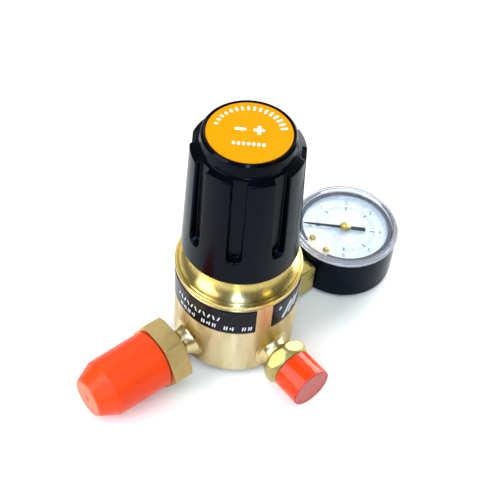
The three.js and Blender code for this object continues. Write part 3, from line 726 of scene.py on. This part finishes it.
nut_outside = rounded([(5.7, 34.2), (14.5, 34.2, 0.15), (15.8, 35, 0.2), (15.8, 42.6, 0.15),
                       (15.1, 43, 0.15), (10.4, 43, 0.2), (10.4, 44.2, 0.2), (11.45, 45.2, 0.2),
                       (11.45, 54.2, 0.3), (10.6, 55.2, 0.3), (9.6, 55.2, 0.2)])
nut_outside = dense(nut_outside, 0.2)
nut_inside = [(9.5, 54.9), (9.5, 38.5), (5.7, 38.5)]
nut_warp = clip_then_thread(hexagon(27, 90), threaded(45.4, 54.6, 1.8, -1), 43.5)
nut = turned(nut_outside, 360, nut_warp) + turned(nut_inside, 360)
piece("inlet_hex_nut", [move(nut, INLET)], NUT_BRASS, "inlet_nut", ["inlet_nut"],
      loops=True)

inlet_cap = rounded([(0, 74.6), (7, 74.6, 0.5), (11, 67.4, 1), (11.65, 66.5, 0.3),
                     (11.65, 43.8, 0.3), (11.95, 43.35, 0.15), (12.7, 43.35, 0.3), (12.62, 48, 2),
                     (12.35, 68.1, 1.1), (8.9, 75.0, 0.8), (8.0, 76.3, 0.5), (1.3, 76.3, 0.4),
                     (0.9, 75.5, 0.3), (0, 75.5)], 8)
piece("inlet_cap_cover", [move(turned(inlet_cap, 160), INLET)], IN_CAP_VINYL, "inlet_cap",
      ["inlet_cap"])

# --- Outlet -------------------------------------------------------------------------------------
bead = [(6.35 + 1.0 * math.cos(a), 30.1 + 0.49 * math.sin(a))
        for a in np.linspace(0, 2 * math.pi, 25)[:-1]]
piece("outlet_bead", [move(turned(bead, 96), OUTLET)], NECK_BRASS, "regulator_body",
      ["outlet_washer"], loops=True)
fitting = rounded([(0, 19.5), (4.6, 19.5), (4.6, 30.9), (8.9, 30.9, 0.3), (10.55, 33.3, 0.8),
                   (10.55, 35.6, 0.8), (8.9, 38.2, 0.3), (7.6, 38.2, 0.15), (7.6, 39, 0.15),
                   (8.3, 39.7, 0.15), (8.3, 48.4, 0.3), (7.4, 49.2, 0.3), (5.6, 49.2, 0.2),
                   (2.4, 45.6, 0.2), (2.4, 19.2), (0, 19.2)])
fitting = fitting[:3] + dense(fitting[3:-3], 0.18) + fitting[-3:]
fit_warp = clip_then_thread(hexagon(19, 7, k=0.1), threaded(39.9, 48.8, 1.337, -1), 38.6)
outlet = turned(fitting, 240, lambda a, r, h: fit_warp(a, r, h) if r > 7 else np.full_like(a, r))
piece("outlet_hex_fitting", [move(outlet, OUTLET)], FITTING_BRASS, "regulator_body",
      ["outlet_fitting"])
outlet_cap = rounded([(0, 50.2), (8.1, 50.2, 0.3), (8.45, 49.8, 0.2), (8.45, 38.6, 0.2),
                      (9.2, 38.6, 0.25), (9.2, 51.2, 0.55), (8.0, 51.2, 0.3), (7.6, 50.95, 0.2),
                      (0, 50.95)], 8)
piece("outlet_cap_cover", [move(turned(outlet_cap, 160), OUTLET)], OUT_CAP_VINYL, "outlet_cap",
      ["outlet_cap"])

# --- Gauge --------------------------------------------------------------------------------------
# The socket block wears brass darkened as painted shade for its side face.
socket_block = move(bar(7.8, 7.8, 0.9, 27.6, 39.8, 0.5), GAUGE_PORT)
socket_neck = move(turned(rounded([(0, 19.2), (6.1, 19.2, 0.2), (6.1, 28), (0, 28)]), 64),
                   GAUGE_PORT)
socket_stub = move(turned(rounded([(0, 39), (4.6, 39), (4.6, 44.7), (0, 44.7)]), 64), GAUGE_PORT)
foot = move(bar(2.7, 5, 0.4, 7.3, 13.7, 0.3), Matrix.Translation((GAUGE_X - 16.85, 0, 0)))
piece("gauge_socket_block", [socket_block, socket_neck, socket_stub, foot], SHADE_DARKENED_BRASS,
      "regulator_body", ["gauge_socket"])
low = case_lo[2]
case = rounded([(0, low), (23.15, low, 0.2), (23.9, low + 0.9, 0.5), (23.9, case_hi[2], 0.2),
                (23, case_hi[2]), (23, low + 1), (0, low + 1)], 6)
piece("gauge_case_can", [move(turned(case, 160), AT_GAUGE)], CASE_BLACK, "regulator_body",
      ["gauge_case"])
lens_rim = rounded([(21.5, 21.5), (21.6, 19.6, 0.1), (22.7, 19.6, 0.1), (22.7, 20.6),
                    (24.2, 20.6, 0.15), (24.2, 22.6, 0.6), (22.2, 22.6, 0.4), (21.5, 22.2)], 6)
piece("gauge_lens_rim", [move(turned(lens_rim, 160), AT_GAUGE)], RIM_CLEAR, "regulator_body",
      ["gauge_lens"], loops=True)
window = [(0, 21.5), (21.48, 21.5), (21.48, 22.2), (0, 22.2)]
piece("gauge_lens_window", [move(turned(window, 160), AT_GAUGE)], GLASS, "regulator_body", (),
      smooth=False)
dial = rounded([(0, 18.6), (21.2, 18.6), (21.2, 19.2, 0.15), (0, 19.2)])
piece("gauge_dial_face", [move(turned(dial, 160), AT_GAUGE)], DIAL_WHITE, "regulator_body",
      ["gauge_dial"])
# The dark split ring under the lens also paints the shadow in the gap between the dial's edge and the case.
sweep = [math.radians(203 + 325 * k / 120) for k in range(121)]
split_ring = ([(21.2 * math.cos(a), 21.2 * math.sin(a)) for a in sweep]
              + [(19.6 * math.cos(a), 19.6 * math.sin(a)) for a in reversed(sweep)])
snap_ring = flat_marks("lens_snap_ring_band", [split_ring], 20.8, 21.2, AT_GAUGE, SNAP_RING_GAP_SHADE,
                       "regulator_body")
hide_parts("lens_snap_ring")

INK_LOW, INK_TOP = 19.19, 19.24
ZERO, SPAN, DIVISIONS = 135, 270, 30
TICK_R, OUTER_TRACK_R, INNER_TRACK_R, NUMBER_R = 12.4, 13.5, 9.4, 16.0


def on_dial(radius, angle, length, width, turn=0.0):
    """A stroke on the dial, along its radius unless turned."""
    return capsule(radius * math.cos(angle), radius * math.sin(angle), length, width, angle + turn)


dial_marks = []
for k in range(DIVISIONS + 1):
    size = (2.0, 0.75) if k % 5 == 0 else (1.0, 0.24)
    dial_marks.append(on_dial(TICK_R, math.radians(ZERO - SPAN / DIVISIONS * k), *size))
for k in range(90):
    a = math.radians(ZERO - 3 * k - 1.5)
    dial_marks.append(on_dial(OUTER_TRACK_R, a, 0.78, 0.16, math.pi / 2))
    if k % 3 == 0:
        dial_marks.append(on_dial(INNER_TRACK_R, a, 0.7, 0.16))
flat_marks("dial_scale", dial_marks, INK_LOW, INK_TOP, AT_GAUGE, DIAL_INK, "regulator_body")

sign_x, sign_y = (6.2 * f(math.radians(196)) for f in (math.cos, math.sin))
ring_mark = [capsule(sign_x + 1.5 * math.cos(a), sign_y + 1.5 * math.sin(a), 1.3, 0.5,
                     a + math.pi / 2) for a in np.linspace(0, 2 * math.pi, 8)[:-1]]
flat_marks("dial_ring_mark", ring_mark, INK_LOW, INK_TOP, AT_GAUGE, DIAL_PINK, "regulator_body")
for k in range(7):
    a = math.radians(ZERO - SPAN / 6 * k)
    curve = bpy.data.curves.new(f"dial_number_{k}", "FONT")
    curve.body = str(k)
    curve.size = 3.0 * MM
    curve.align_x, curve.align_y = "CENTER", "CENTER"
    curve.extrude = 0.03 * MM
    curve.materials.append(DIAL_INK)
    text = bpy.data.objects.new(f"dial_number_{k}", curve)
    bpy.context.scene.collection.objects.link(text)
    text.location = Vector((GAUGE_X + NUMBER_R * math.cos(a), NUMBER_R * math.sin(a), 19.23)) * MM
    text.rotation_euler = (0, 0, FACING)
    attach(text, "regulator_body")

for side in ("left", "right"):
    lo, hi = cad(f"dial_screw_{side}")
    x, y = (lo[0] + hi[0]) / 2, (lo[1] + hi[1]) / 2
    head = rounded([(0, 15.3), (0.8, 15.3), (0.8, 19.35), (1.45, 19.35, 0.1), (1.4, 19.9, 0.3),
                    (0.9, 20.2, 0.3), (0, 20.25)])
    piece(f"dial_screw_{side}_head", [move(turned(head, 48), Matrix.Translation((x, y, 0)))],
          SHADE_DARKENED_BRASS, "regulator_body", [f"dial_screw_{side}"])

needle_turn = AT_GAUGE @ Matrix.Rotation(math.radians(ZERO), 4, "Z")
needle = [(19.3, 0.08), (17.5, 0.35), (0, 0.8), (-9.3, 1.0), (-9.3, -1.0), (0, -0.8),
          (17.5, -0.35), (19.3, -0.08)]
needle_rings = [np.array([[0.0, 0.0, 20.0]])]
for s, z in ((0.99, 20.0), (1.0, 20.08), (1.0, 20.3), (0.985, 20.4)):
    needle_rings.append(np.array([[x * s, y * s, z] for x, y in needle]))
needle_rings.append(np.array([[0.0, 0.0, 20.4]]))
piece("needle", [move(needle_rings, needle_turn)], NEEDLE_BLACK, "pointer", ["pointer"],
      smooth=False)
hub = rounded([(0, 20.45), (2.6, 20.45, 0.1), (2.55, 20.75, 0.2), (1.9, 21.15, 0.5),
               (0.8, 21.3, 0.3), (0.5, 21.2, 0.1), (0, 21.2)])
piece("needle_hub", [move(turned(hub, 64), AT_GAUGE)], SHADE_DARKENED_BRASS, "pointer", ["pointer_hub"])

# --- Carried-over pieces inside -----------------------------------------------------------------
BY_SLOT = {"brass": INNER_BRASS, "polished_brass": POLISHED, "steel": STEEL, "rubber": RUBBER,
           "sintered_bronze": BRONZE, "black_plastic": KNOB_BLACK, "black_paint": CASE_BLACK,
           "black_label": FILM_BLACK, "orange_pvc": IN_CAP_VINYL, "orange_label": LABEL_ORANGE,
           "clear_plastic": GLASS, "white_dial": DIAL_WHITE}
slots = {s["node"]: s["material_slot"] for s in frame["record"]["subparts"]}
for name, node in frame["nodes"].items():
    if not node.hide_render:
        finish = BY_SLOT[slots.get(name, "brass")]
        if not node.material_slots:
            node.data.materials.append(finish)
        for place in node.material_slots:
            place.material = finish

# --- Floor, light and camera --------------------------------------------------------------------
NUT_REST, GAUGE_REST = -35.0, GAUGE_X + 23.1  # where the object stands on the floor
tilt = math.atan2(case_lo[2] - nut_lo[2], GAUGE_REST - NUT_REST)


def floor_height(x):
    return nut_lo[2] - 0.02 + (x - NUT_REST) * math.tan(tilt)


mesh = bpy.data.meshes.new("floor")
HALF_FLOOR = 3000
corners = [(x * HALF_FLOOR, y * HALF_FLOOR) for x, y in ((-1, -1), (1, -1), (1, 1), (-1, 1))]
mesh.from_pydata([(x * MM, y * MM, floor_height(x) * MM) for x, y in corners], [], [(0, 1, 2, 3)])
floor = bpy.data.objects.new("floor", mesh)
bpy.context.scene.collection.objects.link(floor)
paper = Finish("floor_paper", Specular_IOR_Level=0.2)
paper.set("Base Color", paper.mix(paper.noise(40.0), (0.92, 0.92, 0.925), (0.94, 0.94, 0.945)))
paper.set("Roughness", paper.level(paper.noise(8.0), 0.7, 0.8))
mesh.materials.append(paper.material)

world = bpy.data.worlds.new("studio")
bpy.context.scene.world = world
world.use_nodes = True
world.node_tree.nodes["Background"].inputs["Color"].default_value = (0.96, 0.98, 1.0, 1)
world.node_tree.nodes["Background"].inputs["Strength"].default_value = 0.17


def softbox(name, azimuth, elevation, distance, size, power, colour=(1, 1, 1), aim=(0, 0, 40),
            mirrored=True, lights=True):
    """An area light aimed at a point. It may be left out of reflections or of matt surfaces."""
    data = bpy.data.lights.new(name, "AREA")
    data.shape = "RECTANGLE"
    data.size, data.size_y = size[0] * MM, size[1] * MM
    data.energy = power
    data.color = colour
    lamp = bpy.data.objects.new(name, data)
    bpy.context.scene.collection.objects.link(lamp)
    a, e = math.radians(azimuth), math.radians(elevation)
    away = Vector((math.cos(a) * math.cos(e), math.sin(a) * math.cos(e), math.sin(e)))
    lamp.location = (Vector(aim) + away * distance) * MM
    lamp.rotation_euler = away.to_track_quat("Z", "Y").to_euler()
    lamp.visible_glossy = mirrored
    lamp.visible_diffuse = lights


softbox("top_softbox", -110, 72, 900, (700, 700), 2.1, mirrored=False)
softbox("backdrop", 47, 44, 1500, (1700, 1100), 7.0)
softbox("left_softbox", 168, 32, 600, (320, 640), 3.4)
softbox("right_softbox", 10, 12, 600, (360, 540), 5.6)
softbox("front_window", -130, 46, 700, (52, 560), 2.4, (0.58, 0.82, 1.0))
softbox("blue_window", -125, 64, 700, (110, 90), 1.6, (0.04, 0.20, 1.0), lights=False)
softbox("key_spot", -115, 76, 800, (110, 110), 0.35)
softbox("side_spot", -71, 40, 700, (130, 160), 0.3, (1.0, 0.93, 0.30))

# The camera looks at the knob's axis from the photo's side, slightly rolled.
SENSOR, LENS = 36, 71.6868
AIM_X, AIM_Z = 4.178, 48.819
camera_data = bpy.data.cameras.new("camera")
camera_data.sensor_width, camera_data.lens = SENSOR, LENS
camera_data.clip_start, camera_data.clip_end = 0.01, 20
camera = bpy.data.objects.new("camera", camera_data)
bpy.context.scene.collection.objects.link(camera)
bpy.context.scene.camera = camera
elevation, distance, roll, turn = math.radians(49.2838), 405.51, 5.536, -42.4802
eye = Vector((0, -distance * math.cos(elevation), distance * math.sin(elevation) + AIM_Z))
target = Vector((AIM_X, 0, AIM_Z))
forward = (target - eye).normalized()
right = forward.cross(Vector((0, 0, 1))).normalized()
up = right.cross(forward)
c, s = math.cos(math.radians(roll)), math.sin(math.radians(roll))
right, up = right * c + up * s, up * c - right * s
aim = Matrix((right, up, -forward)).transposed().to_4x4()
aim.translation = eye * MM
camera.matrix_world = Matrix.Rotation(math.radians(turn), 4, "Z") @ aim

view = bpy.context.scene.view_settings
view.view_transform, view.look = "Standard", "None"
